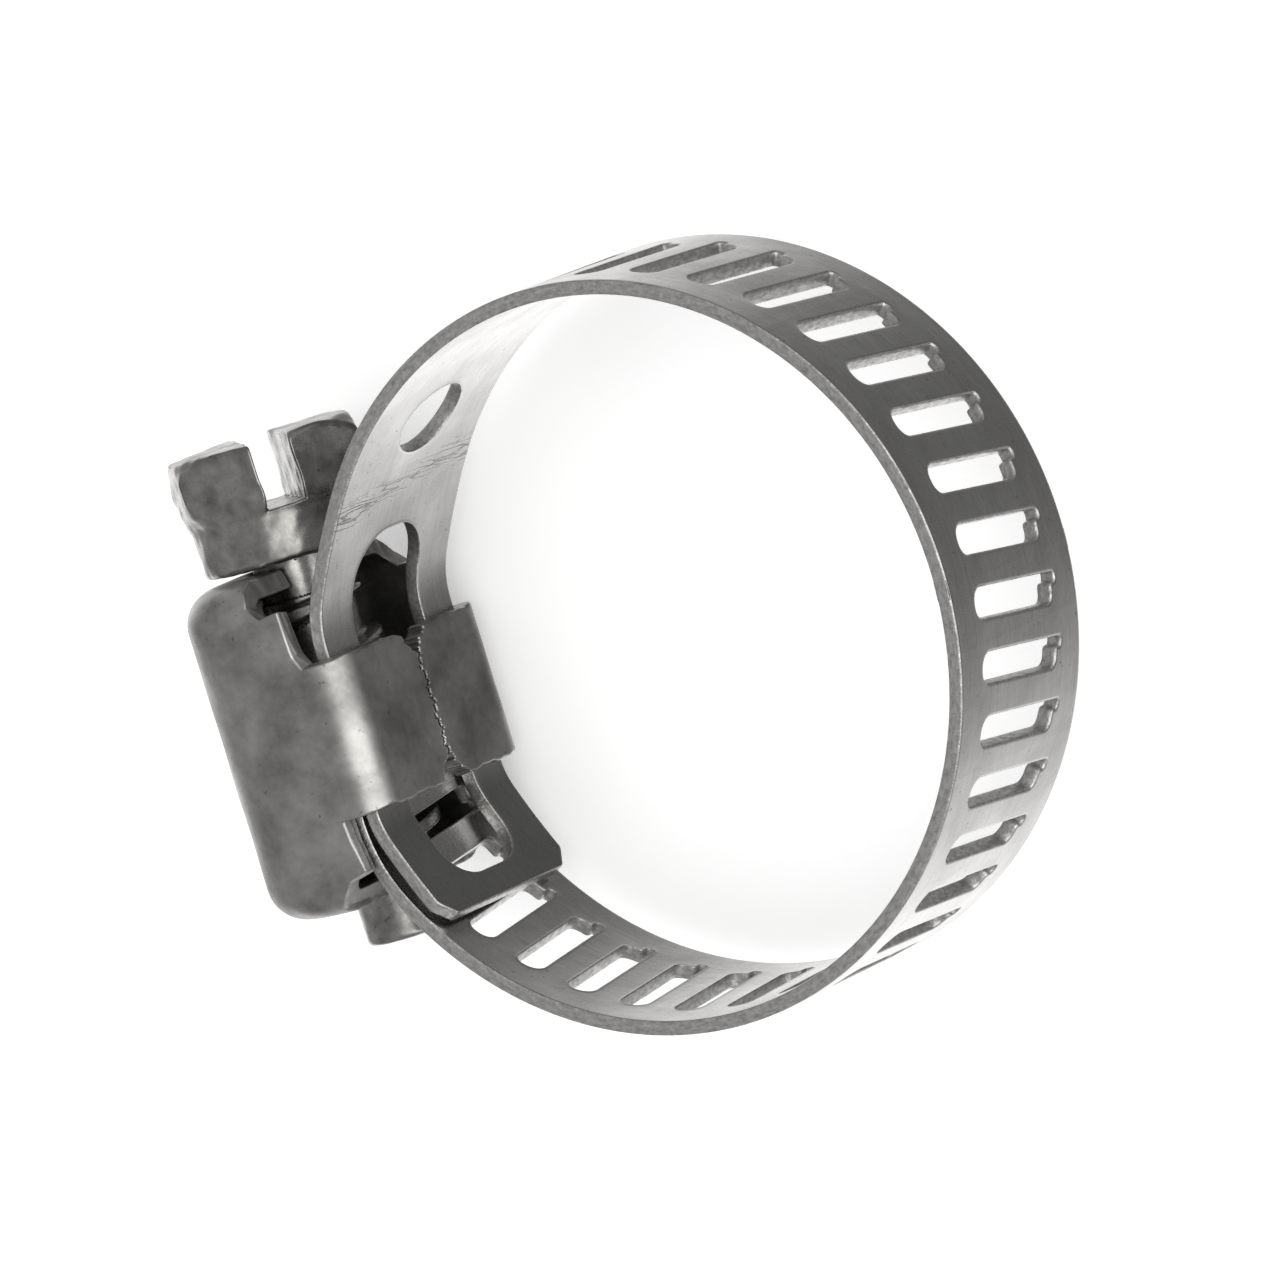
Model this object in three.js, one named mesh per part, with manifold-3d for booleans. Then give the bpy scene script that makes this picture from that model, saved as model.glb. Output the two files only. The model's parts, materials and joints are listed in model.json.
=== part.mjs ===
// Miniature worm-drive hose clamp, lying on its side with the hose axis along +Z.
// The hose axis passes through the origin, the screw stands at -X with its head towards +Y.
// The one flexible band is divided into rigid lengths, hinged end to end, so that the loop can close.
import * as THREE from "three";
import { mergeVertices } from "three/addons/utils/BufferGeometryUtils.js";
import Module from "manifold-3d";

const wasm = await Module();
wasm.setup();

// ---- driving sizes, millimetres and degrees ----
const BAND_WIDTH = 7.94; // 5/16 inch strip
const BAND_THICKNESS = 0.5;
const SLOT_PITCH = 2.1; // also the lead of the worm
const SLOT_WIDTH = 1.0;
const SLOT_LENGTH = 5.0;
const SLOT_SLANT = 6; // leaned over to suit the worm's lead
const HEX_ACROSS_FLATS = 6.35; // 1/4 inch
const WALL = 0.7; // housing sheet
const WORM_CREST_RADIUS = 2.25;
const FLAP_TOP_Y = 2.4; // upper and lower edges of the two flaps under the band
const FLAP_BOTTOM_Y = -2.8;

// ---- named clearances ----
const SIDE_CLEARANCE = 0.1; // band edge to housing wall
const LAYER_CLEARANCE = 0.14; // anchored strip to slotted run
const FLAP_CLEARANCE = 0.08; // anchored strip to the flaps under it
const CREST_CLEARANCE = 0.15; // worm crest to the anchored strip
const ROOT_CLEARANCE = 0.2; // worm root to the slotted run
const RUNNING_CLEARANCE = 0.1; // screw neck and pilot in the housing ends
const LINK_GAP = 0.14; // between two lengths of band at a hinge
const OPEN_PIVOT_GAP = 0.28; // where the loop is left open

// ---- places that follow from them ----
const MID_Z = WALL + SIDE_CLEARANCE + BAND_WIDTH / 2;
const HOUSING_WIDTH = 2 * MID_Z;
const BAND_LOW_Z = MID_Z - BAND_WIDTH / 2;
const ANCHOR_X = -11.25; // centre line of the anchored strip inside the housing
const SLOTTED_X = ANCHOR_X - BAND_THICKNESS - LAYER_CLEARANCE;
const SCREW_X = ANCHOR_X + BAND_THICKNESS / 2 - BAND_THICKNESS - CREST_CLEARANCE - WORM_CREST_RADIUS;
const WORM_ROOT_RADIUS = SLOTTED_X - BAND_THICKNESS / 2 - ROOT_CLEARANCE - SCREW_X;
const FLAP_OUTER_X = ANCHOR_X + BAND_THICKNESS / 2 + FLAP_CLEARANCE;
const FLAP_INNER_X = FLAP_OUTER_X + WALL;
const DOME_CLEARANCE = 0.3;
const DOME_X = SCREW_X - WORM_CREST_RADIUS - DOME_CLEARANCE - WALL;

// ---- centre line of the band, from just above the flaps clockwise round to the housing again ----
const LOOP_START_Y = FLAP_TOP_Y + 0.3; // where the anchored strip leaves the flaps
const STRAIGHT_Y = -3.1; // above this the slotted run is straight
const EXIT_BEND = { length: 1.8, turn: 29 };
const EASY_BEND = { length: 3.7, turn: 8.5 };
const UPPER_TURN = 145;
const ENTRY_BEND = { length: 3.0, turn: 29.5 };
const LOWER_TURN = 360 - EXIT_BEND.turn - EASY_BEND.turn - UPPER_TURN - ENTRY_BEND.turn;

const radians = THREE.MathUtils.degToRad;

// End point of a run of arcs that starts at `from` (x, y, heading).
function follow(from, arcs) {
  let { x, y, heading } = from;
  for (const arc of arcs) {
    const turn = radians(arc.turn);
    const half = heading - turn / 2;
    const chord = turn === 0 ? arc.length : (2 * Math.sin(turn / 2) * arc.length) / turn;
    x += chord * Math.cos(half);
    y += chord * Math.sin(half);
    heading -= turn;
  }
  return { x, y, heading };
}

const loopStart = { x: ANCHOR_X, y: LOOP_START_Y, heading: Math.PI / 2 };

// The two ring arcs get the radii that bring the loop back into the housing.
function ringArcs(upperRadius, lowerRadius) {
  return [
    EXIT_BEND,
    EASY_BEND,
    { length: upperRadius * radians(UPPER_TURN), turn: UPPER_TURN },
    { length: lowerRadius * radians(LOWER_TURN), turn: LOWER_TURN },
    ENTRY_BEND,
  ];
}
function closingRadii() {
  const base = follow(loopStart, ringArcs(0, 0));
  const upper = follow(loopStart, ringArcs(1, 0));
  const lower = follow(loopStart, ringArcs(0, 1));
  const ux = upper.x - base.x;
  const uy = upper.y - base.y;
  const lx = lower.x - base.x;
  const ly = lower.y - base.y;
  const dx = SLOTTED_X - base.x;
  const dy = STRAIGHT_Y - base.y;
  const det = ux * ly - uy * lx;
  return [(dx * ly - dy * lx) / det, (ux * dy - uy * dx) / det];
}
const [upperRadius, lowerRadius] = closingRadii();
const loopArcs = ringArcs(upperRadius, lowerRadius);
const loopLength = loopArcs.reduce((sum, arc) => sum + arc.length, 0);

// Point and heading at distance s along a run of arcs; past the last arc it goes straight on.
function along(start, arcs, s) {
  let from = start;
  let left = s;
  for (const arc of arcs) {
    if (left <= arc.length) return follow(from, [{ length: left, turn: (arc.turn * left) / arc.length }]);
    from = follow(from, [arc]);
    left -= arc.length;
  }
  return follow(from, [{ length: left, turn: 0 }]);
}
const onLoop = (s) => along(loopStart, loopArcs, s);

// ---- solids ----
function solid(geometry) {
  const bare = geometry.index ? geometry.toNonIndexed() : geometry.clone();
  bare.deleteAttribute("normal");
  bare.deleteAttribute("uv");
  const merged = mergeVertices(bare, 1e-4);
  return new wasm.Manifold(
    new wasm.Mesh({
      numProp: 3,
      vertProperties: merged.attributes.position.array,
      triVerts: new Uint32Array(merged.index.array),
    }),
  );
}
const add = (...parts) => parts.reduce((sum, part) => sum.add(part));
const cut = (body, ...tools) => tools.reduce((left, tool) => left.subtract(tool), body);
const common = (...parts) => parts.reduce((sum, part) => sum.intersect(part));

function shapeOf(points) {
  const shape = new THREE.Shape();
  points.forEach(([x, y], i) => (i ? shape.lineTo(x, y) : shape.moveTo(x, y)));
  shape.closePath();
  return shape;
}

// A rectangle whose four corners have their own radii: low-low, high-low, high-high, low-high.
function roundedRectangle(x0, y0, x1, y1, [r0, r1, r2, r3]) {
  const quarter = Math.PI / 2;
  const shape = new THREE.Shape();
  shape.moveTo(x0 + r0, y0);
  shape.lineTo(x1 - r1, y0);
  shape.absarc(x1 - r1, y0 + r1, r1, -quarter, 0, false);
  shape.lineTo(x1, y1 - r2);
  shape.absarc(x1 - r2, y1 - r2, r2, 0, quarter, false);
  shape.lineTo(x0 + r3, y1);
  shape.absarc(x0 + r3, y1 - r3, r3, quarter, 2 * quarter, false);
  shape.lineTo(x0, y0 + r0);
  shape.absarc(x0 + r0, y0 + r0, r0, 2 * quarter, 3 * quarter, false);
  return shape;
}

// Extrudes a shape by `depth` in its own +z, then sets its axes along the given directions.
function extruded(shape, depth, xAxis, yAxis, zAxis, origin, curveSegments = 6) {
  const geometry = new THREE.ExtrudeGeometry(shape, { depth, steps: 1, bevelEnabled: false, curveSegments });
  const matrix = new THREE.Matrix4().makeBasis(xAxis, yAxis, zAxis).setPosition(origin);
  return solid(geometry.applyMatrix4(matrix));
}
const X = new THREE.Vector3(1, 0, 0);
const Y = new THREE.Vector3(0, 1, 0);
const Z = new THREE.Vector3(0, 0, 1);
const minusY = Y.clone().negate();

const extrudedUp = (shape, z0, z1) => extruded(shape, z1 - z0, X, Y, Z, new THREE.Vector3(0, 0, z0));
// shape in (x, z), running down from y1 to y0
const extrudedDown = (shape, y0, y1) =>
  extruded(shape, y1 - y0, X, Z, minusY, new THREE.Vector3(0, y1, 0));
// shape in (y, z), running along +X
const extrudedAcross = (shape, x0, x1) => extruded(shape, x1 - x0, Y, Z, X, new THREE.Vector3(x0, 0, 0));

// ---- the band ----
const STRIP_STEP = 1.06; // longest facet along a bend

function strip(pointAt, from, to) {
  const count = Math.max(1, Math.ceil((to - from) / STRIP_STEP));
  const outer = [];
  const inner = [];
  for (let i = 0; i <= count; i++) {
    const { x, y, heading } = pointAt(from + ((to - from) * i) / count);
    const nx = -Math.sin(heading);
    const ny = Math.cos(heading);
    outer.push([x + (nx * BAND_THICKNESS) / 2, y + (ny * BAND_THICKNESS) / 2]);
    inner.push([x - (nx * BAND_THICKNESS) / 2, y - (ny * BAND_THICKNESS) / 2]);
  }
  return extrudedUp(shapeOf([...outer, ...inner.reverse()]), BAND_LOW_Z, BAND_LOW_Z + BAND_WIDTH);
}

const CUTTER_DEPTH = 4 * BAND_THICKNESS;
const SLOT_CORNER = 0.42 * SLOT_WIDTH;

// A hole cutter square to the band at distance s along the loop; `lean` turns its long axis towards
// the anchored end as z rises.
function holeCutter(s, shape, lean, curveSegments = 3) {
  const { x, y, heading } = onLoop(s);
  const forward = new THREE.Vector3(Math.cos(heading), Math.sin(heading), 0);
  const inward = new THREE.Vector3(Math.sin(heading), -Math.cos(heading), 0);
  const across = Z.clone().multiplyScalar(Math.cos(radians(lean)));
  across.addScaledVector(forward, -Math.sin(radians(lean)));
  const side = new THREE.Vector3().crossVectors(across, inward);
  const origin = new THREE.Vector3(x, y, MID_Z).addScaledVector(inward, -CUTTER_DEPTH / 2);
  return extruded(shape, CUTTER_DEPTH, side, across, inward, origin, curveSegments);
}

const slotShape = roundedRectangle(
  -SLOT_WIDTH / 2,
  -SLOT_LENGTH / 2,
  SLOT_WIDTH / 2,
  SLOT_LENGTH / 2,
  Array(4).fill(SLOT_CORNER),
);

// Hinges are on webs, half a pitch from the nearest slot. Counted back from the free end:
const TAIL_HINGE_RISE = 0.1; // above the start of the straight
const tailHinge = loopLength + TAIL_HINGE_RISE;
const web = (count) => tailHinge - count * SLOT_PITCH;
const SHORT_LENGTHS = 5; // one slot each, where the loop runs into the housing
const LONG_LENGTHS = 11; // they share the other slots, round the ring
const FIRST_HINGE = 4.8;
const OVAL_HINGE = 10.2;
const TAIL_SLOTS = 2;
const TAIL_SHORTFALL = 0.1; // the strip ends this far short of a whole web
const TAIL_LENGTH = TAIL_SLOTS * SLOT_PITCH - TAIL_SHORTFALL;
const PLAIN_STATION = 13; // the strip has no slots up to here
const OPEN_PIVOT = 7; // number of the hinge left open, counted from zero

const slotCount = Math.floor((tailHinge - PLAIN_STATION) / SLOT_PITCH);
const longShare = (slotCount - SHORT_LENGTHS) / LONG_LENGTHS;
const hinges = [FIRST_HINGE, OVAL_HINGE];
for (let i = LONG_LENGTHS; i > 0; i--) hinges.push(web(SHORT_LENGTHS + Math.round(i * longShare)));
for (let i = SHORT_LENGTHS; i >= 0; i--) hinges.push(web(i));

const gapAt = (index) => (index === OPEN_PIVOT ? OPEN_PIVOT_GAP : LINK_GAP) / 2;

function bandLength(index) {
  const last = index === hinges.length - 1;
  const from = hinges[index];
  const to = last ? from + TAIL_LENGTH : hinges[index + 1];
  let body = strip(onLoop, from + gapAt(index), last ? to : to - gapAt(index + 1));
  const slots = last ? TAIL_SLOTS : Math.round((to - from) / SLOT_PITCH);
  if (index >= 2) {
    for (let i = 0; i < slots; i++) {
      body = cut(body, holeCutter(from + (i + 0.5) * SLOT_PITCH, slotShape, SLOT_SLANT));
    }
  }
  return body;
}

// ---- the anchored end: strip through the housing, then the tongue under it ----
const TONGUE_HINGE_Y = FLAP_BOTTOM_Y - 0.1; // just below the flaps
const tongueStart = { x: ANCHOR_X, y: TONGUE_HINGE_Y, heading: -Math.PI / 2 };
const tongueArcs = [
  { length: 1.2, turn: -21.5 },
  { length: 3.25, turn: -7 },
];
const tongueLength = tongueArcs.reduce((sum, arc) => sum + arc.length, 0);
const CORNER_CLIP = 0.9;
const WINDOW_WIDTH = 4.1;
const WINDOW_LOW_Y = -6.1;
const WINDOW_HIGH_Y = 6.0;
const WINDOW_END_RADIUS = 1.3;
const OVAL_LENGTH = 3.2;
const OVAL_WIDTH = 2.8;
const OVAL_STATION = 7.9;

const windowCutter = extrudedAcross(
  roundedRectangle(
    WINDOW_LOW_Y,
    MID_Z - WINDOW_WIDTH / 2,
    WINDOW_HIGH_Y,
    MID_Z + WINDOW_WIDTH / 2,
    Array(4).fill(WINDOW_END_RADIUS),
  ),
  ANCHOR_X - CUTTER_DEPTH / 2,
  ANCHOR_X + 3, // past the tongue's end, which leans inwards
);

function anchoredStrip() {
  const below = LOOP_START_Y - TONGUE_HINGE_Y;
  const bottom = { x: ANCHOR_X, y: TONGUE_HINGE_Y, heading: Math.PI / 2 };
  const pointAt = (s) => (s < below ? follow(bottom, [{ length: s, turn: 0 }]) : onLoop(s - below));
  return cut(strip(pointAt, LINK_GAP / 2, below + FIRST_HINGE - LINK_GAP / 2), windowCutter);
}

function tongue() {
  const pointAt = (s) => along(tongueStart, tongueArcs, s);
  const end = pointAt(tongueLength);
  const clipper = (z) => {
    const box = new THREE.BoxGeometry(2 * CORNER_CLIP, 2 * CORNER_CLIP, 4 * BAND_THICKNESS);
    box.rotateZ(Math.PI / 4).rotateX(Math.PI / 2).rotateZ(end.heading);
    return solid(box.translate(end.x, end.y, z));
  };
  return cut(
    strip(pointAt, LINK_GAP / 2, tongueLength),
    windowCutter,
    clipper(BAND_LOW_Z),
    clipper(BAND_LOW_Z + BAND_WIDTH),
  );
}

// ---- the housing: a domed shell over the worm, bent in under the band as two flaps ----
const DOME_CORNER = 3.1;
const FLAP_CORNER = 1.0;
const HOUSING_TOP_Y = 5.6;
const HOUSING_BOTTOM_Y = -6.0;
const END_CORNER = 1.3; // the ends are drawn in with this radius
const END_WALL_X = -12.9; // the end walls stop here, clear of the band
const COVER_TOP_Y = 4.35; // side walls beside the band
const COVER_BOTTOM_Y = -4.8;
const NECK_RADIUS = 1.5;
const SEAM_WIDTH = 0.12;
const NOTCH_WIDTH = 1.5;
const NOTCH_DEPTH = 0.85;

// The stepped edge of the side walls, from the screw's neck across to the flaps and back to the pilot.
const TOP_STEP = { from: 0.5, to: 1.1 }; // past the screw's axis
const BOTTOM_STEP = { from: 0.75, to: 1.5 };
const BAND_EDGE_X = ANCHOR_X - 0.7; // beside the band the wall is a little uneven
const UNEVEN = 0.1;
const FLAP_STEP_X = ANCHOR_X - 0.35;
const FLAP_STEP_RISE = 0.3;

function sideProfile() {
  const shape = new THREE.Shape();
  shape.moveTo(DOME_X, HOUSING_BOTTOM_Y + END_CORNER);
  shape.lineTo(DOME_X, HOUSING_TOP_Y - END_CORNER);
  shape.quadraticCurveTo(DOME_X, HOUSING_TOP_Y, DOME_X + END_CORNER, HOUSING_TOP_Y);
  shape.lineTo(SCREW_X + TOP_STEP.from, HOUSING_TOP_Y);
  shape.lineTo(SCREW_X + TOP_STEP.to, COVER_TOP_Y);
  shape.lineTo(BAND_EDGE_X, COVER_TOP_Y);
  shape.lineTo(BAND_EDGE_X + UNEVEN, FLAP_TOP_Y + FLAP_STEP_RISE);
  shape.lineTo(FLAP_STEP_X, FLAP_TOP_Y);
  shape.lineTo(FLAP_INNER_X, FLAP_TOP_Y);
  shape.lineTo(FLAP_INNER_X, FLAP_BOTTOM_Y);
  shape.lineTo(BAND_EDGE_X + UNEVEN, FLAP_BOTTOM_Y - UNEVEN);
  shape.lineTo(FLAP_STEP_X, COVER_BOTTOM_Y);
  shape.lineTo(SCREW_X + BOTTOM_STEP.to, COVER_BOTTOM_Y - UNEVEN);
  shape.lineTo(SCREW_X + BOTTOM_STEP.from, HOUSING_BOTTOM_Y);
  shape.lineTo(DOME_X + END_CORNER, HOUSING_BOTTOM_Y);
  shape.quadraticCurveTo(DOME_X, HOUSING_BOTTOM_Y, DOME_X, HOUSING_BOTTOM_Y + END_CORNER);
  return shape;
}

function cavityProfile() {
  const x0 = DOME_X + WALL;
  const y0 = HOUSING_BOTTOM_Y + WALL;
  const y1 = HOUSING_TOP_Y - WALL;
  const beyond = 4;
  const shape = new THREE.Shape();
  shape.moveTo(x0, y0 + WALL);
  shape.lineTo(x0, y1 - WALL);
  shape.quadraticCurveTo(x0, y1, x0 + WALL, y1);
  shape.lineTo(END_WALL_X, y1);
  shape.lineTo(END_WALL_X, HOUSING_TOP_Y + beyond);
  shape.lineTo(FLAP_INNER_X + beyond, HOUSING_TOP_Y + beyond);
  shape.lineTo(FLAP_INNER_X + beyond, HOUSING_BOTTOM_Y - beyond);
  shape.lineTo(END_WALL_X, HOUSING_BOTTOM_Y - beyond);
  shape.lineTo(END_WALL_X, y0);
  shape.lineTo(x0 + WALL, y0);
  shape.quadraticCurveTo(x0, y0, x0, y0 + WALL);
  return shape;
}

function section(inset) {
  const corner = DOME_CORNER - inset;
  const bend = Math.max(FLAP_CORNER - inset, 0.2);
  return roundedRectangle(DOME_X + inset, inset, FLAP_INNER_X - inset, HOUSING_WIDTH - inset, [
    corner,
    bend,
    bend,
    corner,
  ]);
}

function housing() {
  const plan = roundedRectangle(HOUSING_BOTTOM_Y, 0, HOUSING_TOP_Y, HOUSING_WIDTH, Array(4).fill(END_CORNER));
  const outer = common(
    extrudedDown(section(0), HOUSING_BOTTOM_Y - 1, HOUSING_TOP_Y + 1),
    extrudedUp(sideProfile(), -1, HOUSING_WIDTH + 1),
    extrudedAcross(plan, DOME_X - 1, FLAP_INNER_X + 1),
  );
  const cavity = common(
    extrudedDown(section(WALL), HOUSING_BOTTOM_Y - 1, HOUSING_TOP_Y + 1),
    extrudedUp(cavityProfile(), -1, HOUSING_WIDTH + 1),
  );
  const bore = new THREE.CylinderGeometry(
    NECK_RADIUS + RUNNING_CLEARANCE,
    NECK_RADIUS + RUNNING_CLEARANCE,
    HOUSING_TOP_Y - HOUSING_BOTTOM_Y + 2,
    28,
  ).translate(SCREW_X, (HOUSING_TOP_Y + HOUSING_BOTTOM_Y) / 2, MID_Z);
  // A straight seam between the flaps that opens into a V notch at each end.
  const half = SEAM_WIDTH / 2;
  const beyond = 1;
  const mouth = (NOTCH_WIDTH / 2) * (1 + beyond / NOTCH_DEPTH);
  const seam = extrudedAcross(
    shapeOf([
      [FLAP_BOTTOM_Y - beyond, MID_Z - mouth],
      [FLAP_BOTTOM_Y + NOTCH_DEPTH, MID_Z - half],
      [FLAP_TOP_Y - NOTCH_DEPTH, MID_Z - half],
      [FLAP_TOP_Y + beyond, MID_Z - mouth],
      [FLAP_TOP_Y + beyond, MID_Z + mouth],
      [FLAP_TOP_Y - NOTCH_DEPTH, MID_Z + half],
      [FLAP_BOTTOM_Y + NOTCH_DEPTH, MID_Z + half],
      [FLAP_BOTTOM_Y - beyond, MID_Z + mouth],
    ]),
    FLAP_OUTER_X - WALL / 2,
    FLAP_INNER_X + beyond,
  );
  return cut(outer, cavity, solid(bore), seam);
}

// ---- the screw: slotted hexagon head, collar, neck, worm and pilot on one axis ----
const PILOT_END_Y = -7.6;
const PILOT_CHAMFER = 0.25;
const WORM_LOW_Y = -4.8;
const WORM_HIGH_Y = 4.4;
const ROOT_STEP = 0.1; // neck and pilot run into the worm's root over this height
const COLLAR_RADIUS = 3.07;
const COLLAR_CLEARANCE = 0.18; // under the collar
const COLLAR_LOW_Y = HOUSING_TOP_Y + COLLAR_CLEARANCE;
const MERGE = 0.3; // the collar runs this far up into the head
const HEX_LOW_Y = 7.55;
const HEX_TOP_Y = 9.95;
const HEX_TOP_RADIUS = 3.15;
const HEAD_CHAMFER_HEIGHT = 0.65; // at the rim of the head's top
const HEAD_UNDERCUT = 0.9; // at the head's lower end, down to the collar
const DRIVE_SLOT_WIDTH = 1.3;
const DRIVE_SLOT_DEPTH = 2.3;
const DRIVE_SLOT_ANGLE = 40.7; // from +Z towards +X, at rest
const THREAD_ROOT_WIDTH = 0.8;
const THREAD_CREST_WIDTH = 0.45;
const THREAD_STEPS_PER_TURN = 20;

class ThreadPath extends THREE.Curve {
  // Right-handed about +Y; the thread crosses the band's mid line at height `meshY`.
  constructor(radius, lead, lowY, highY, meshY) {
    super();
    Object.assign(this, { radius, lead, lowY, highY, meshY });
  }
  azimuth(t) {
    const y = this.lowY + t * (this.highY - this.lowY);
    return Math.PI / 2 + (2 * Math.PI * (y - this.meshY)) / this.lead;
  }
  getPoint(t, target = new THREE.Vector3()) {
    const angle = this.azimuth(t);
    const y = this.lowY + t * (this.highY - this.lowY);
    return target.set(this.radius * Math.sin(angle), y, this.radius * Math.cos(angle));
  }
  computeFrenetFrames(segments) {
    const tangents = [];
    const normals = [];
    const binormals = [];
    for (let i = 0; i <= segments; i++) {
      const angle = this.azimuth(i / segments);
      const rise = this.lead / (2 * Math.PI * this.radius);
      const tangent = new THREE.Vector3(Math.cos(angle), rise, -Math.sin(angle)).normalize();
      const normal = new THREE.Vector3(Math.sin(angle), 0, Math.cos(angle));
      tangents.push(tangent);
      normals.push(normal);
      binormals.push(new THREE.Vector3().crossVectors(tangent, normal));
    }
    return { tangents, normals, binormals };
  }
}

function worm() {
  const meshY = STRAIGHT_Y + TAIL_HINGE_RISE + SLOT_PITCH / 2;
  const path = new ThreadPath(WORM_ROOT_RADIUS, SLOT_PITCH, WORM_LOW_Y, WORM_HIGH_Y, meshY);
  const buried = 0.25;
  const height = WORM_CREST_RADIUS - WORM_ROOT_RADIUS;
  const profile = shapeOf([
    [-buried, -THREAD_ROOT_WIDTH / 2],
    [0, -THREAD_ROOT_WIDTH / 2],
    [height, -THREAD_CREST_WIDTH / 2],
    [height, THREAD_CREST_WIDTH / 2],
    [0, THREAD_ROOT_WIDTH / 2],
    [-buried, THREAD_ROOT_WIDTH / 2],
  ]);
  const turns = (WORM_HIGH_Y - WORM_LOW_Y) / SLOT_PITCH;
  const steps = Math.round(turns * THREAD_STEPS_PER_TURN);
  return solid(new THREE.ExtrudeGeometry(profile, { extrudePath: path, steps, bevelEnabled: false }));
}

function screw() {
  const profile = [
    [0, PILOT_END_Y],
    [NECK_RADIUS - PILOT_CHAMFER, PILOT_END_Y],
    [NECK_RADIUS, PILOT_END_Y + PILOT_CHAMFER],
    [NECK_RADIUS, WORM_LOW_Y],
    [WORM_ROOT_RADIUS, WORM_LOW_Y + ROOT_STEP],
    [WORM_ROOT_RADIUS, WORM_HIGH_Y],
    [NECK_RADIUS, WORM_HIGH_Y + ROOT_STEP],
    [NECK_RADIUS, COLLAR_LOW_Y],
    [COLLAR_RADIUS, COLLAR_LOW_Y],
    [COLLAR_RADIUS, HEX_LOW_Y + MERGE],
    [0, HEX_LOW_Y + MERGE],
  ].map(([r, y]) => new THREE.Vector2(r, y));
  const core = solid(new THREE.LatheGeometry(profile, 32));
  const circumradius = HEX_ACROSS_FLATS / Math.sqrt(3);
  const corners = [];
  for (let i = 0; i < 6; i++) {
    const angle = radians(DRIVE_SLOT_ANGLE + 60 * i);
    corners.push([circumradius * Math.sin(angle), circumradius * Math.cos(angle)]);
  }
  const prism = extrudedDown(shapeOf(corners), HEX_LOW_Y, HEX_TOP_Y);
  const past = circumradius + 0.05;
  const chamfer = [
    [0, HEX_LOW_Y],
    [COLLAR_RADIUS, HEX_LOW_Y],
    [(COLLAR_RADIUS + past) / 2, HEX_LOW_Y + 0.4 * HEAD_UNDERCUT],
    [past, HEX_LOW_Y + HEAD_UNDERCUT],
    [past, HEX_TOP_Y - HEAD_CHAMFER_HEIGHT],
    [HEX_TOP_RADIUS, HEX_TOP_Y],
    [0, HEX_TOP_Y],
  ].map(([r, y]) => new THREE.Vector2(r, y));
  const head = common(prism, solid(new THREE.LatheGeometry(chamfer, 48)));
  const slotDepth = DRIVE_SLOT_DEPTH + 1;
  const drive = new THREE.BoxGeometry(DRIVE_SLOT_WIDTH, slotDepth, 3 * circumradius);
  drive.rotateY(radians(DRIVE_SLOT_ANGLE)).translate(0, HEX_TOP_Y + 1 - slotDepth / 2, 0);
  return cut(add(core, worm(), head), solid(drive)).translate([SCREW_X, 0, MID_Z]);
}

// ---- the assembly ----
const bandSteel = { color: 0x9a9b96, roughness: 0.42, metalness: 0.9 };
const housingSteel = { color: 0x75776f, roughness: 0.45, metalness: 0.9 };
const screwSteel = { color: 0x5c5d5a, roughness: 0.4, metalness: 0.9 };

const clamp = new THREE.Group();
clamp.name = "hose_clamp";

function place(name, body, look) {
  const made = body.getMesh();
  const stride = made.numProp;
  const positions = new Float32Array(made.numVert * 3);
  for (let i = 0; i < made.numVert; i++) {
    for (let k = 0; k < 3; k++) positions[3 * i + k] = made.vertProperties[stride * i + k];
  }
  const geometry = new THREE.BufferGeometry();
  geometry.setAttribute("position", new THREE.BufferAttribute(positions, 3));
  geometry.setIndex(new THREE.BufferAttribute(new Uint32Array(made.triVerts), 1));
  geometry.computeVertexNormals();
  const mesh = new THREE.Mesh(geometry, new THREE.MeshStandardMaterial(look));
  mesh.name = name;
  clamp.add(mesh);
}

place("housing", housing(), housingSteel);
place("screw", screw(), screwSteel);
place("band_anchor_strip", anchoredStrip(), bandSteel);
place("band_tongue", tongue(), bandSteel);

const ovalShape = new THREE.Shape();
ovalShape.absellipse(0, 0, OVAL_LENGTH / 2, OVAL_WIDTH / 2, 0, 2 * Math.PI, false, 0);

for (let i = 0; i < hinges.length; i++) {
  const last = i === hinges.length - 1;
  const name = last ? "band_free_end" : "band_length_" + String(i + 1).padStart(2, "0");
  const body = bandLength(i);
  place(name, i === 0 ? cut(body, holeCutter(OVAL_STATION, ovalShape, 0, 10)) : body, bandSteel);
}

export default clamp;
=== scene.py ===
"""Looks of the miniature worm-drive hose clamp: strip, pressed housing and screw in worn steel."""
import json
import math

import bpy
import numpy as np
from mathutils import Matrix, Vector
from mathutils.geometry import delaunay_2d_cdt

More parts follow.
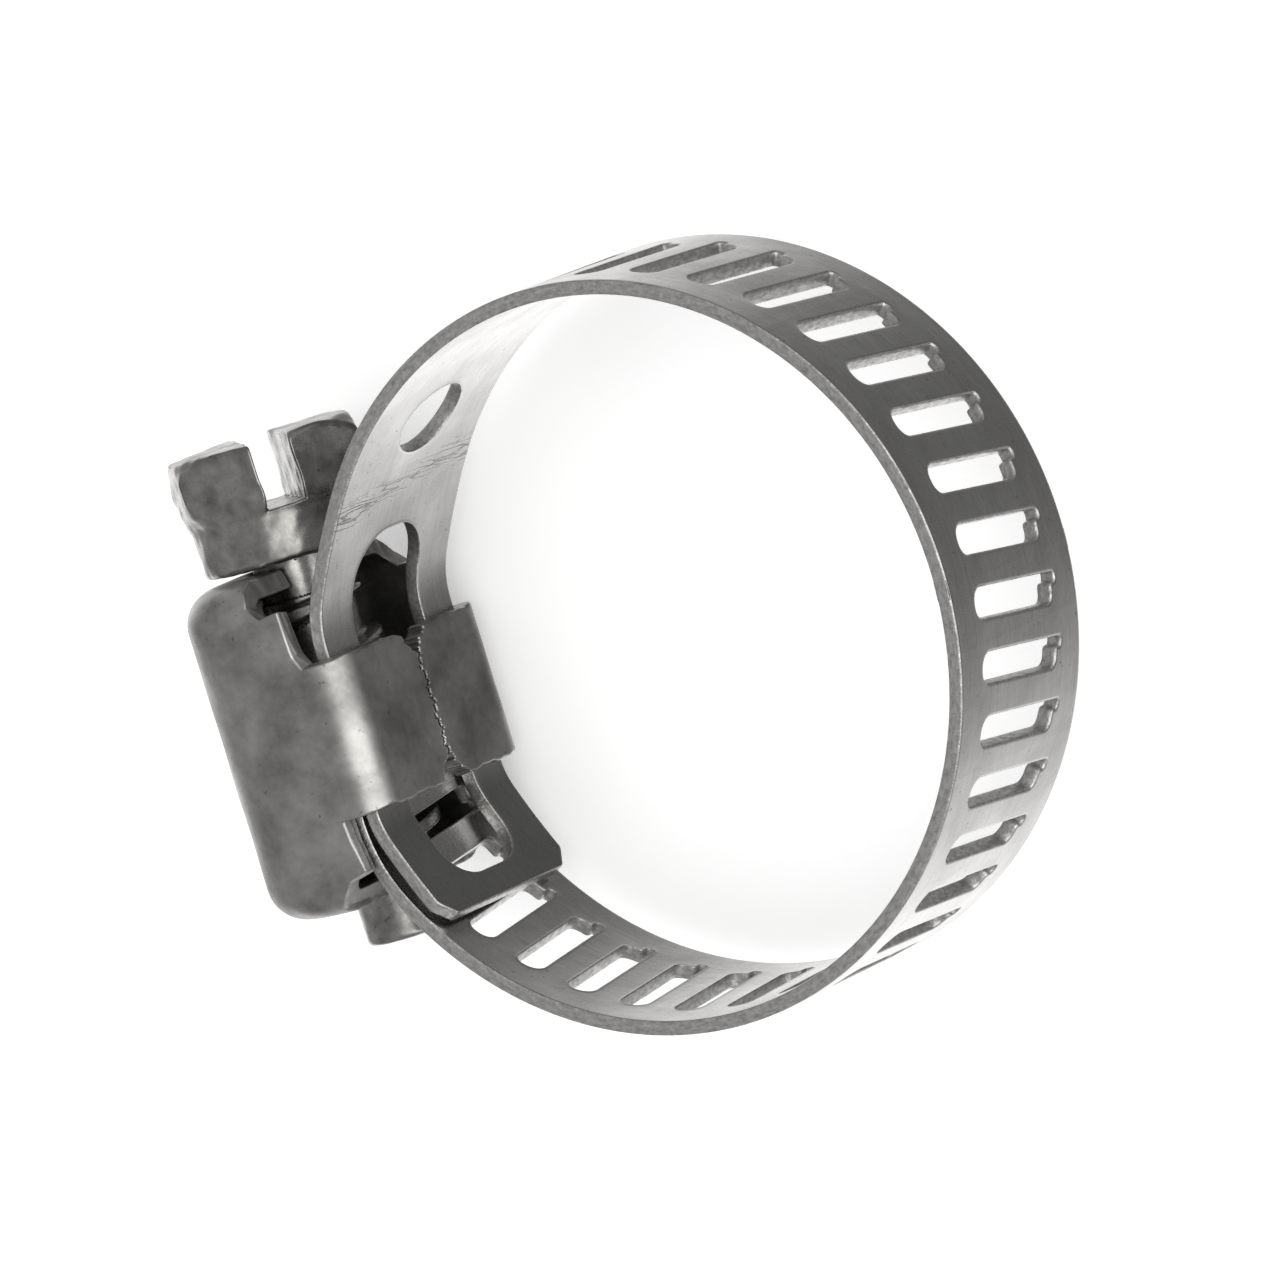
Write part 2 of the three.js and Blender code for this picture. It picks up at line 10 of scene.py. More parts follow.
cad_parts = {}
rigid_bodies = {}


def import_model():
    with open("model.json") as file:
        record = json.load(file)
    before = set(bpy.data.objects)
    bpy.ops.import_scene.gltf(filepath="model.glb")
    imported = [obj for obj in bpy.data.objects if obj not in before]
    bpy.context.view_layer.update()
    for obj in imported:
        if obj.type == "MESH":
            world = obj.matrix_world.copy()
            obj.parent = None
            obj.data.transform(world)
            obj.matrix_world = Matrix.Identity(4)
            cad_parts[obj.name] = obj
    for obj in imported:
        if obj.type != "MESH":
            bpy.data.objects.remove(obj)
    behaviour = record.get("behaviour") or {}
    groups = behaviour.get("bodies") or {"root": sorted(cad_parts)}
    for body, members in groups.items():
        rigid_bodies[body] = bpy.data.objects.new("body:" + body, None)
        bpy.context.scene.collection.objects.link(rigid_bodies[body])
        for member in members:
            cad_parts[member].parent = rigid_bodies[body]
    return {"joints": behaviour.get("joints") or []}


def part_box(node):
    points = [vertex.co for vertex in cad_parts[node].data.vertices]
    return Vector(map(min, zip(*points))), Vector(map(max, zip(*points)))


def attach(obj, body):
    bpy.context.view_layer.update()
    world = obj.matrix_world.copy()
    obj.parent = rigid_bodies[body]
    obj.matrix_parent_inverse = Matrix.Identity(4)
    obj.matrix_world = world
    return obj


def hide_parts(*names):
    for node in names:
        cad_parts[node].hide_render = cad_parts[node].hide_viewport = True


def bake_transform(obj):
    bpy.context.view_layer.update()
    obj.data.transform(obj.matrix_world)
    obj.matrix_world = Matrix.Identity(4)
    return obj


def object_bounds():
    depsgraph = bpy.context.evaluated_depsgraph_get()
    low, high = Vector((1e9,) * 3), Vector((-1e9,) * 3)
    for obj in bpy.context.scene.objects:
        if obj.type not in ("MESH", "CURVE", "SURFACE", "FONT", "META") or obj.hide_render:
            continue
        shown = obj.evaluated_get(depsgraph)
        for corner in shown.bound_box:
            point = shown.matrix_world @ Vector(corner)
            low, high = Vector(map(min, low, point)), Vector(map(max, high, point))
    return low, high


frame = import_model()
CAD_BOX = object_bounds()
JOINTS = {joint["name"]: joint for joint in frame["joints"]}
MM = 0.001


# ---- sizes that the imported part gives, in millimetres ----
def box_mm(node):
    low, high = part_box(node)
    return np.array(low) / MM, np.array(high) / MM


housing_low, housing_high = box_mm("housing")
screw_low, screw_high = box_mm("screw")
anchor_low, anchor_high = box_mm("band_anchor_strip")
SCREW_X, _, MID_Z = np.array(JOINTS["screw_turn"]["pos_m"]) / MM
BAND_Z0, BAND_Z1 = anchor_low[2], anchor_high[2]
THICK = 0.5
ROOT = JOINTS["screw_turn"]["parent"]

# ---- centre line of the strip; stations run clockwise round the loop ----
ANCHOR_X = JOINTS["tongue_spring"]["pos_m"][0] / MM
TONGUE_Y = JOINTS["tongue_spring"]["pos_m"][1] / MM
SLOTTED_X = JOINTS["band_hinge_19"]["pos_m"][0] / MM
LOOP_START_Y = 2.7
STRAIGHT_Y = -3.1
PITCH = 2.1
SLANT = math.radians(6)
# (length, degrees turned) of each arc; the two big arcs get the lengths that close the loop.
TURNS = [(1.8, 29.0), (3.7, 8.5), (None, 145.0), (None, 148.0), (3.0, 29.5)]
PAST_LOOP = 12.0  # straight strip beyond the loop
TONGUE_ARCS = [(1.2, -21.5), (3.25, -7.0)]


def follow(x, y, heading, length, turn):
    half = heading - turn / 2
    chord = length * np.sinc(turn / 2 / np.pi)
    return x + chord * np.cos(half), y + chord * np.sin(half), heading - turn


def loop_arcs(upper, lower):
    radii = iter((upper, lower))
    arcs = []
    for length, turn in TURNS:
        turn = math.radians(turn)
        arcs.append((length if length is not None else next(radii) * turn, turn))
    return arcs


def end_of(arcs):
    x, y, heading = ANCHOR_X, LOOP_START_Y, math.pi / 2
    for length, turn in arcs:
        x, y, heading = follow(x, y, heading, length, turn)
    return np.array([x, y])


def closing_radii():
    base = end_of(loop_arcs(0, 0))
    both = np.stack([end_of(loop_arcs(1, 0)) - base, end_of(loop_arcs(0, 1)) - base], 1)
    return np.linalg.solve(both, np.array([SLOTTED_X, STRAIGHT_Y]) - base)


LOOP = loop_arcs(*closing_radii())
LOOP_LENGTH = sum(length for length, _ in LOOP)
TONGUE_STATION = TONGUE_Y - LOOP_START_Y
TONGUE_LENGTH = sum(length for length, _ in TONGUE_ARCS)
TONGUE_END = TONGUE_STATION - TONGUE_LENGTH


def runs():
    """(first station, length, x, y, heading, turn) of each arc, from the tongue to past the free end."""
    out = []
    x, y, heading = ANCHOR_X, TONGUE_Y, -math.pi / 2
    s = TONGUE_STATION
    for length, turn in TONGUE_ARCS:
        x, y, heading = follow(x, y, heading, length, math.radians(turn))
        s -= length
        out.insert(0, (s, length, x, y, heading + math.pi, -math.radians(turn)))
    out.append((TONGUE_STATION, -TONGUE_STATION, ANCHOR_X, TONGUE_Y, math.pi / 2, 0.0))
    x, y, heading, s = ANCHOR_X, LOOP_START_Y, math.pi / 2, 0.0
    for length, turn in LOOP:
        out.append((s, length, x, y, heading, turn))
        x, y, heading = follow(x, y, heading, length, turn)
        s += length
    out.append((s, PAST_LOOP, x, y, heading, 0.0))
    return out


RUNS = runs()


def on_path(s):
    s = np.asarray(s, float)
    x, y, h = np.zeros_like(s), np.zeros_like(s), np.zeros_like(s)
    for i, (s0, length, x0, y0, h0, turn) in enumerate(RUNS):
        here = (s >= s0) if i else np.ones_like(s, bool)
        t = (s - s0)[here]
        x[here], y[here], h[here] = follow(x0, y0, h0, t, turn * t / length)
    return x, y, h


def to_space(s, z, d):
    x, y, h = on_path(s)
    return np.stack([x - np.sin(h) * d, y + np.cos(h) * d, z + 0 * x], 1)


def path_point(s):
    x, y, _ = on_path(np.array([s]))
    return (x[0] * MM, y[0] * MM, MID_Z * MM)


# Hinge stations. Those of the slotted stretch are counted back from the free end's hinge.
TAIL_HINGE_RISE = 0.1
TAIL_HINGE = LOOP_LENGTH + TAIL_HINGE_RISE
TAIL_LENGTH = 4.1
SHORT_LENGTHS, LONG_LENGTHS = 5, 11
FIRST_HINGE, OVAL_HINGE = 4.8, 10.2
OPEN_PIVOT = 7  # its place in HINGES; the loop is cut here, so it has no joint
HINGES = [FIRST_HINGE, OVAL_HINGE]
HINGES += [TAIL_HINGE - (SHORT_LENGTHS + 2 * (LONG_LENGTHS - i)) * PITCH for i in range(LONG_LENGTHS)]
HINGES += [TAIL_HINGE - i * PITCH for i in range(SHORT_LENGTHS, -1, -1)]
SLOTTED_START = HINGES[2]
STRIP_END = TAIL_HINGE + TAIL_LENGTH
TAIL = len(HINGES) - 1
ON_STRIP = 1e-5  # metres
for k, s in enumerate(HINGES):
    if k != OPEN_PIVOT:
        joint = np.array(JOINTS["band_hinge_%02d" % (k + 1)]["pos_m"])
        off = np.abs(joint - np.array(path_point(s)))
        if off[0] > ON_STRIP or (k != TAIL and off[1] > ON_STRIP):
            raise SystemExit("band hinge %d is not on the strip: %s" % (k + 1, off))


# ---- flat outlines in (station, z) ----
def rounded(points, radii, step):
    """Closed polygon with its corners filleted, cut into short steps."""
    points = [np.array(p, float) for p in points]
    n = len(points)
    out = []
    for i, (p, r) in enumerate(zip(points, radii)):
        a, b = points[i - 1] - p, points[(i + 1) % n] - p
        la, lb = np.linalg.norm(a), np.linalg.norm(b)
        a, b = a / la, b / lb
        angle = math.acos(np.clip(a @ b, -1, 1))
        if r <= 0 or angle > math.pi - 1e-3:
            out.append(p)
            continue
        reach = min(r / math.tan(angle / 2), 0.49 * la, 0.49 * lb)
        r = reach * math.tan(angle / 2)
        centre = p + (a + b) / np.linalg.norm(a + b) * (r / math.sin(angle / 2))
        u, v = p + a * reach - centre, p + b * reach - centre
        count = max(2, int(math.ceil((math.pi - angle) * r / min(step, 0.1))))
        u_angle = math.atan2(u[1], u[0])
        sweep = math.atan2(u[0] * v[1] - u[1] * v[0], u @ v)
        for t in np.linspace(0, 1, count + 1):
            w = u_angle + sweep * t
            out.append(centre + r * np.array([math.cos(w), math.sin(w)]))
    return resampled(out, step, True)


def resampled(points, step, closed):
    points = [np.array(p, float) for p in points]
    out = []
    pairs = list(zip(points, points[1:] + points[:1])) if closed else list(zip(points, points[1:]))
    for p, q in pairs:
        gap = np.linalg.norm(q - p)
        if gap < 1e-5:
            continue
        for t in range(max(1, int(math.ceil(gap / step)))):
            out.append(p + (q - p) * t / max(1, int(math.ceil(gap / step))))
    if not closed:
        out.append(points[-1])
    return np.array(out)


def area(loop):
    x, y = loop[:, 0], loop[:, 1]
    return 0.5 * np.sum(x * np.roll(y, -1) - y * np.roll(x, -1))


def as_hole(loop):
    """The same outline, running so that the material is on its left."""
    return loop if area(loop) < 0 else loop[::-1]


def inside(points, loop):
    """Even-odd test of many points against one closed polygon."""
    x, y = points[:, 0:1], points[:, 1:2]
    ax, ay = loop[:, 0], loop[:, 1]
    bx, by = np.roll(ax, -1), np.roll(ay, -1)
    crosses = ((ay > y) != (by > y)) & (x < (bx - ax) * (y - ay) / (by - ay + 1e-30) + ax)
    return crosses.sum(1) % 2 == 1


def clipped(loop, s0, s1):
    """The runs of a closed polygon that lie between two stations."""
    low, high = loop[:, 0].min(), loop[:, 0].max()
    if low >= s0 and high <= s1:
        return [(loop, True)]
    if high <= s0 or low >= s1:
        return []
    keep = (loop[:, 0] > s0 + 1e-9) & (loop[:, 0] < s1 - 1e-9)
    n = len(loop)
    first = next(i for i in range(n) if keep[i] and not keep[i - 1])
    out, run = [], []
    for j in range(n + 1):
        i, prev = (first + j) % n, (first + j - 1) % n
        if keep[i] and not keep[prev] and j < n:
            edge = s0 if loop[prev, 0] <= s0 else s1
            t = (edge - loop[prev, 0]) / (loop[i, 0] - loop[prev, 0])
            run = [loop[prev] + t * (loop[i] - loop[prev])]
        if keep[i] and j < n:
            run.append(loop[i])
        if not keep[i] and keep[prev]:
            edge = s0 if loop[i, 0] <= s0 else s1
            t = (edge - loop[prev, 0]) / (loop[i, 0] - loop[prev, 0])
            run.append(loop[prev] + t * (loop[i] - loop[prev]))
            out.append((np.array(run), False))
    return out


def into_material(chain, closed):
    """Unit normals to the left of an outline that keeps the material on its left."""
    if closed:
        along = np.roll(chain, -1, 0) - np.roll(chain, 1, 0)
    else:
        along = np.gradient(chain, axis=0)
    along /= np.linalg.norm(along, axis=1)[:, None] + 1e-12
    return np.stack([-along[:, 1], along[:, 0]], 1)


# How the outline is rounded, as (inset from the edge, depth below the outer face).
SHEET_INSET = 0.13
RIM = [(0.13, 0), (0.085, 0), (0.04, 0.010), (0.012, 0.036), (0, 0.085)]
RIM_PROFILE = RIM + [(i, THICK - d) for i, d in reversed(RIM)]
PUNCH = [(0.13, 0), (0.10, 0.001), (0.06, 0.012), (0.02, 0.040), (0, 0.095)]
BURR = [(0, THICK - 0.03), (0.012, THICK + 0.014), (0.035, THICK + 0.020),
        (0.075, THICK + 0.004), (0.13, THICK)]
HOLE_PROFILE = PUNCH + BURR
GRID = 0.34
TONGUE_CLIP, FREE_END_CLIP, CLIP_RADIUS = 0.62, 0.25, 0.3


def strip_mesh(name, s0, s1, holes, end=None):
    """One stretch of strip between two stations. end names the station of a real end: 's0' or 's1'."""
    z0, z1 = BAND_Z0, BAND_Z1
    rims = []
    if end is None:
        rims.append((resampled([(s0, z0), (s1, z0)], GRID, False), False))
        rims.append((resampled([(s1, z1), (s0, z1)], GRID, False), False))
    else:
        clip = TONGUE_CLIP if end == "s0" else FREE_END_CLIP
        real, seam = (s0, s1) if end == "s0" else (s1, s0)
        inward = 1 if end == "s0" else -1
        corners = [(seam, z1), (real + inward * clip, z1), (real, z1 - clip), (real, z0 + clip)]
        corners += [(real + inward * clip, z0), (seam, z0)]
        if end == "s1":
            corners.reverse()
        loop = rounded(corners, [0, *[CLIP_RADIUS] * 4, 0], 0.2)
        start = int(np.argmin(np.abs(loop - np.array(corners[0])).sum(1)))
        loop = np.roll(loop, -start, 0)
        stop = int(np.argmin(np.abs(loop - np.array(corners[-1])).sum(1)))
        rims.append((loop[: stop + 1], False))
    chains = [(chain, closed, RIM_PROFILE) for chain, closed in rims]
    for hole in holes:
        chains += [(chain, closed, HOLE_PROFILE) for chain, closed in clipped(as_hole(hole), s0, s1)]
    flat, edges, ring0 = [], [], []
    for chain, closed, profile in chains:
        normal = into_material(chain, closed)
        moved = chain + normal * SHEET_INSET
        if not closed:
            moved[[0, -1], 0] = chain[[0, -1], 0]
        base, n = len(flat), len(moved)
        flat += [tuple(p) for p in moved]
        ring0.append((base, n))
        edges += [(base + i, base + i + 1) for i in range(n - 1)]
        edges += [(base + n - 1, base)] if closed else []
    outlines = np.array(flat)
    ds = (s1 - s0) / max(1, round((s1 - s0) / GRID))
    heights = np.arange(z0 + SHEET_INSET + GRID, z1 - SHEET_INSET - 0.2, GRID)
    gs, gz = np.meshgrid(np.arange(s0, s1 + 1e-6, ds), heights)
    grid = np.stack([gs.ravel(), gz.ravel()], 1)
    outer = [outlines[base : base + n] for (base, n), (_, _, p) in zip(ring0, chains) if p is RIM_PROFILE]
    outer_loop = np.concatenate(outer)
    hole_loops = []
    for hole in holes:
        hole = as_hole(hole)
        hole_loops.append(hole + into_material(hole, True) * SHEET_INSET)
    nudged = grid.copy()
    nudged[:, 0] = np.clip(nudged[:, 0], s0 + 1e-3, s1 - 1e-3)
    keep = inside(nudged, outer_loop)
    for loop in hole_loops:
        keep &= ~inside(grid, loop)
    near = np.min(np.linalg.norm(grid[:, None] - outlines[None], axis=2), axis=1)
    keep &= near > 0.42 * GRID
    flat += [tuple(p) for p in grid[keep]]
    verts, _, faces, origin, _, _ = delaunay_2d_cdt([Vector(p) for p in flat], edges, [], 0, 1e-5)
    verts = np.array([tuple(v) for v in verts])
    where = {}
    for i, sources in enumerate(origin):
        for source in sources:
            where[source] = i
    faces = [f for f in faces if len(f) == 3]
    tris = np.array(faces)
    middle = verts[tris].mean(1)
    good = inside(middle, outer_loop)
    for loop in hole_loops:
        good &= ~inside(middle, loop)
    a, b, c = verts[tris[:, 0]], verts[tris[:, 1]], verts[tris[:, 2]]
    size = (b[:, 0] - a[:, 0]) * (c[:, 1] - a[:, 1]) - (b[:, 1] - a[:, 1]) * (c[:, 0] - a[:, 0])
    good &= np.abs(size) > 1e-7
    tris, size = tris[good], size[good]
    tris[size < 0] = tris[size < 0][:, ::-1]
    count = len(verts)
    points = [np.column_stack([verts, np.full(count, side * THICK / 2)]) for side in (1, -1)]
    all_faces = [tuple(t[::-1]) for t in tris.tolist()] + [tuple(v + count for v in t) for t in tris.tolist()]
    kinds = [0] * len(all_faces)
    total = 2 * count
    for (base, n), (chain, closed, profile) in zip(ring0, chains):
        normal = into_material(chain, closed)
        first = [where[base + i] for i in range(n)]
        last = [where[base + i] + count for i in range(n)]
        rings = [first]
        for inset, depth in profile[1:-1]:
            moved = chain + normal * inset
            if not closed:
                moved[[0, -1], 0] = chain[[0, -1], 0]
            points.append(np.column_stack([moved, np.full(n, THICK / 2 - depth)]))
            rings.append(list(range(total, total + n)))
            total += n
        rings.append(last)
        for k in range(len(rings) - 1):
            for i in range(n if closed else n - 1):
                j = (i + 1) % n
                all_faces.append((rings[k][i], rings[k][j], rings[k + 1][j], rings[k + 1][i]))
                kinds.append(1 if 2 <= k <= len(rings) - 4 else 0)
    flat_points = np.concatenate(points)
    space = to_space(flat_points[:, 0], flat_points[:, 1], flat_points[:, 2])
    return mesh_object(name, space, all_faces, kinds, flat_points)


def mesh_object(name, points, faces, kinds=None, chart=None, normals=None):
    """A mesh from millimetre points. chart is each point's own (length, width, height) for its material."""
    mesh = bpy.data.meshes.new(name)
    in_array = isinstance(faces, np.ndarray)
    used = np.zeros(len(points), bool)
    used[np.unique(faces if in_array else np.concatenate([np.array(f) for f in faces]))] = True
    renumber = np.cumsum(used) - 1
    if in_array:
        new_faces = renumber[faces].tolist()
    else:
        new_faces = [tuple(int(renumber[v]) for v in f) for f in faces]
    mesh.from_pydata((points[used] * MM).tolist(), [], new_faces)
    mesh.shade_smooth()
    if kinds is not None:
        mesh.polygons.foreach_set("material_index", np.array(kinds, np.int32))
    if chart is not None:
        layer = mesh.attributes.new("chart", "FLOAT_VECTOR", "POINT")
        layer.data.foreach_set("vector", np.ascontiguousarray(chart[used], np.float32).ravel())
    if normals is not None:
        mesh.normals_split_custom_set_from_vertices(normals[used].tolist())
    mesh.update()
    made = bpy.data.objects.new(name, mesh)
    bpy.context.scene.collection.objects.link(made)
    return made


# ---- solids given by a distance function, made into a mesh by surface nets ----
def smooth_max(a, b, k):
    h = np.maximum(k - np.abs(a - b), 0) / k
    return np.maximum(a, b) + h * h * k * 0.25


def smooth_min(a, b, k):
    return -smooth_max(-a, -b, k)


def surface_mesh(name, distance, low, high, step):
    low, high = np.array(low, float), np.array(high, float)
    counts = np.ceil((high - low) / step).astype(int) + 1
    axes = [low[i] + step * np.arange(counts[i]) for i in range(3)]
    values = np.empty(counts, np.float32)
    for i, x in enumerate(axes[0]):
        values[i] = distance(x, axes[1][:, None], axes[2][None, :])
    corner = [(i, j, k) for i in (0, 1) for j in (0, 1) for k in (0, 1)]
    shape = counts - 1
    low_all = np.full(shape, 9.0, np.float32)
    high_all = np.full(shape, -9.0, np.float32)
    for i, j, k in corner:
        part = values[i : i + shape[0], j : j + shape[1], k : k + shape[2]]
        np.minimum(low_all, part, out=low_all)
        np.maximum(high_all, part, out=high_all)
    cells = np.argwhere((low_all < 0) & (high_all >= 0))
    index = np.full(shape, -1, np.int32)
    index[tuple(cells.T)] = np.arange(len(cells))
    at = np.stack([values[cells[:, 0] + i, cells[:, 1] + j, cells[:, 2] + k] for i, j, k in corner], 1)
    total = np.zeros((len(cells), 3))
    hits = np.zeros(len(cells))
    for a in range(8):
        for b in range(a + 1, 8):
            ca, cb = np.array(corner[a]), np.array(corner[b])
            if np.abs(ca - cb).sum() != 1:
                continue
            fa, fb = at[:, a], at[:, b]
            crosses = (fa < 0) != (fb < 0)
            t = np.where(crosses, fa / np.where(crosses, fa - fb, 1), 0)
            total += crosses[:, None] * (ca + t[:, None] * (cb - ca))
            hits += crosses
    points = low + step * (cells + total / hits[:, None])

    def value(p):
        return distance(p[:, 0], p[:, 1], p[:, 2])

    def gradient(p):
        e = 0.004
        out = []
        for axis in range(3):
            move = np.zeros(3)
            move[axis] = e
            out.append((value(p + move) - value(p - move)) / (2 * e))
        return np.stack(out, 1)

    for _ in range(3):
        slope = gradient(points)
        shift = value(points)[:, None] * slope / (np.sum(slope**2, 1)[:, None] + 1e-6)
        length = np.linalg.norm(shift, axis=1)[:, None]
        points = points - shift * np.minimum(1, 0.4 * step / (length + 1e-9)) * 0.8
    normals = gradient(points)
    normals /= np.linalg.norm(normals, axis=1)[:, None] + 1e-9
    quads = []
    negative = values < 0
    for axis in range(3):
        b, c = [(1, 2), (2, 0), (0, 1)][axis]
        first = [slice(None)] * 3
        second = [slice(None)] * 3
        first[axis], second[axis] = slice(0, -1), slice(1, None)
        change = negative[tuple(first)] != negative[tuple(second)]
        spots = np.argwhere(change)
        ok = (spots[:, b] > 0) & (spots[:, c] > 0) & (spots[:, b] < shape[b]) & (spots[:, c] < shape[c])
        spots = spots[ok]
        inner = negative[tuple(spots.T)]
        around = []
        for db, dc in ((-1, -1), (0, -1), (0, 0), (-1, 0)):
            cell = spots.copy()
            cell[:, b] += db
            cell[:, c] += dc
            around.append(index[tuple(cell.T)])
        quad = np.stack(around, 1)
        quad[~inner] = quad[~inner][:, ::-1]
        quads.append(quad)
    quads = np.concatenate(quads)
    quads = quads[(quads >= 0).all(1)]
    return mesh_object(name, points, quads, None, points, normals)


def ripple(x, y, z, seed, size):
    """A gentle fixed unevenness between about -1 and 1."""
    rng = np.random.default_rng(seed)
    total = 0.0
    for _ in range(5):
        k = rng.normal(0, 1 / size, 3)
        total = total + np.sin(k[0] * x + k[1] * y + k[2] * z + rng.uniform(0, 6.28)) / 2.4
    return total


# ---- materials ----
class Nodes:
    def __init__(self, name):
        self.material = bpy.data.materials.new(name)
        self.material.use_nodes = True
        self.tree = self.material.node_tree
        self.shader = self.tree.nodes["Principled BSDF"]

    def add(self, kind, **settings):
        node = self.tree.nodes.new(kind)
        for key, value in settings.items():
            if key.startswith("_"):
                setattr(node, key[1:], value)
        for key, value in settings.items():
            if not key.startswith("_"):
                node.inputs[key.replace("__", " ")].default_value = value
        return node

    def link(self, source, target):
        self.tree.links.new(source, target)

    def chart(self, scale=(1, 1, 1)):
        source = self.add("ShaderNodeAttribute", _attribute_name="chart")
        mapping = self.add("ShaderNodeMapping", Scale=scale)
        self.link(source.outputs["Vector"], mapping.inputs["Vector"])
        return mapping.outputs["Vector"]

    def noise(self, scale, detail=3.0, rough=0.55, stretch=(1, 1, 1)):
        node = self.add("ShaderNodeTexNoise", Scale=scale, Detail=detail, Roughness=rough)
        self.link(self.chart(stretch), node.inputs["Vector"])
        return node.outputs["Fac"]

    def ramp(self, value, stops):
        node = self.add("ShaderNodeValToRGB")
        ramp = node.color_ramp
        while len(ramp.elements) < len(stops):
            ramp.elements.new(0.5)
        for element, (at, colour) in zip(ramp.elements, stops):
            element.position = at
            element.color = (*colour, 1) if len(colour) == 3 else colour
        self.link(value, node.inputs["Fac"])
        return node.outputs["Color"]

    def span(self, value, from_low, from_high, to_low, to_high):
        node = self.add("ShaderNodeMapRange")
        for i, number in enumerate((from_low, from_high, to_low, to_high), 1):
            node.inputs[i].default_value = number
        self.link(value, node.inputs[0])
        return node.outputs[0]

    def math(self, operation, a, b=None):
        node = self.add("ShaderNodeMath", _operation=operation)
        for i, value in enumerate((a, b)):
            if value is None:
                continue
            if isinstance(value, (int, float)):
                node.inputs[i].default_value = value
            else:
                self.link(value, node.inputs[i])
        return node.outputs[0]

    def multiply(self, colour, other):
        node = self.add("ShaderNodeMix", _data_type="RGBA", _blend_type="MULTIPLY")
        node.inputs[0].default_value = 1.0
        self.link(colour, node.inputs[6])
        self.link(other, node.inputs[7])
        return node.outputs[2]

    def bump(self, height, distance, below=None):
        node = self.add("ShaderNodeBump", Strength=1.0, Distance=distance)
        self.link(height, node.inputs["Height"])
        if below is not None:
            self.link(below, node.inputs["Normal"])
        return node.outputs["Normal"]


def grey(v, warm=0.0):
    return (v * (1 + warm), v, v * (1 - 1.6 * warm))


def halfway(a, b):
    return tuple((u + v) / 2 for u, v in zip(a, b))


def steel(name, light, dark, rough, grain, along=None, blotch=0.35, dent=0.0, crease_with_painted_shade=False):
    """Bare stainless steel: smudges, grain, fine scratches and a little pitting; optionally also crease lines
    that are bumped and darkened with painted shade, and a strip darker towards the tongue end.
    """
    n = Nodes(name)
    n.shader.inputs["Metallic"].default_value = 1.0
    n.shader.inputs["Specular IOR Level"].default_value = 0.5
    smudge = n.noise(blotch, 4.0, 0.6)
    colour = n.ramp(smudge, [(0.34, dark), (0.50, halfway(dark, light)), (0.66, light)])
    stretch = along or (1, 1, 1)
    lines = n.noise(1.0, 5.0, 0.7, stretch)
    fine = n.noise(grain, 3.0, 0.6)
    streak = n.ramp(lines, [(0.30, grey(0.86)), (0.52, grey(1.0)), (0.72, grey(1.0))])
    colour = n.multiply(colour, streak)
    pits = n.noise(grain * 0.35, 2.0, 0.5)
    colour = n.multiply(colour, n.ramp(pits, [(0.24, grey(0.55, 0.05)), (0.31, grey(1.0)), (1.0, grey(1.0))]))
    worn = n.span(smudge, 0.3, 0.7, rough + 0.07, rough - 0.04)
    roughness = n.math("ADD", worn, n.span(fine, 0.3, 0.7, -0.03, 0.05))
    height = n.math("ADD", n.math("MULTIPLY", lines, 1.6), n.math("MULTIPLY", fine, 0.25))
    normal = n.bump(height, 0.0000022)
    if dent:
        normal = n.bump(n.noise(0.9, 2.0, 0.5), dent, normal)
    if crease_with_painted_shade:
        # A crease across the strip: its lines are bumped, and their colour is darkened with painted shade.
        source = n.add("ShaderNodeAttribute", _attribute_name="chart")
        parts = n.add("ShaderNodeSeparateXYZ")
        n.link(source.outputs["Vector"], parts.inputs[0])
        s, z = parts.outputs[0], parts.outputs[1]
        wander = n.span(n.noise(0.30, 1.0, 0.4), 0.0, 1.0, -0.9, 0.9)
        lean = n.math("MULTIPLY", n.math("SUBTRACT", z, MID_Z), 0.13)
        across = n.math("SUBTRACT", n.math("ADD", n.math("ADD", s, lean), wander), CREASE_STATION)
        zone = n.span(n.math("ABSOLUTE", across), 0.10, 0.62, 1.0, 0.0)
        threads = n.noise(1.0, 2.0, 0.5, (5.2, 0.55, 1))
        ridge = n.span(n.math("ABSOLUTE", n.math("SUBTRACT", threads, 0.5)), 0.012, 0.05, 1.0, 0.0)
        crease_shade_and_bump = n.math("MULTIPLY", zone, ridge)
        crease_shade_and_bump = n.math("MULTIPLY", crease_shade_and_bump, n.span(parts.outputs[2], -0.24, -0.25, 0.0, 1.0))
        # Painted shade: the crease lines are made darker in the colour.
        colour = n.multiply(colour, n.ramp(crease_shade_and_bump, [(0.0, grey(1.0)), (1.0, grey(0.58))]))
        normal = n.bump(crease_shade_and_bump, 0.000012, normal)
        # The strip's colour is made darker towards the tongue end.
        colour = n.multiply(colour, n.ramp(n.span(s, TONGUE_STATION + 0.7, TONGUE_STATION - 0.9, 0.0, 1.0),
                                           [(0.0, grey(1.0)), (1.0, grey(0.66))]))
    n.link(colour, n.shader.inputs["Base Color"])
    n.link(roughness, n.shader.inputs["Roughness"])
    n.link(normal, n.shader.inputs["Normal"])
    return n.material


def sheared_steel(name, light, dark):
    """The torn, matt edge that shearing and punching leave."""
    n = Nodes(name)
    n.shader.inputs["Metallic"].default_value = 1.0
    mottle = n.noise(3.2, 4.0, 0.7, (1, 1, 2.2))
    colour = n.ramp(mottle, [(0.32, dark), (0.5, halfway(dark, light)), (0.7, light)])
    n.link(colour, n.shader.inputs["Base Color"])
    n.link(n.span(mottle, 0.3, 0.7, 0.5, 0.36), n.shader.inputs["Roughness"])
    tears = n.noise(1.0, 4.0, 0.65, (5.5, 5.5, 3.0))
    n.link(n.bump(tears, 0.000045), n.shader.inputs["Normal"])
    return n.material


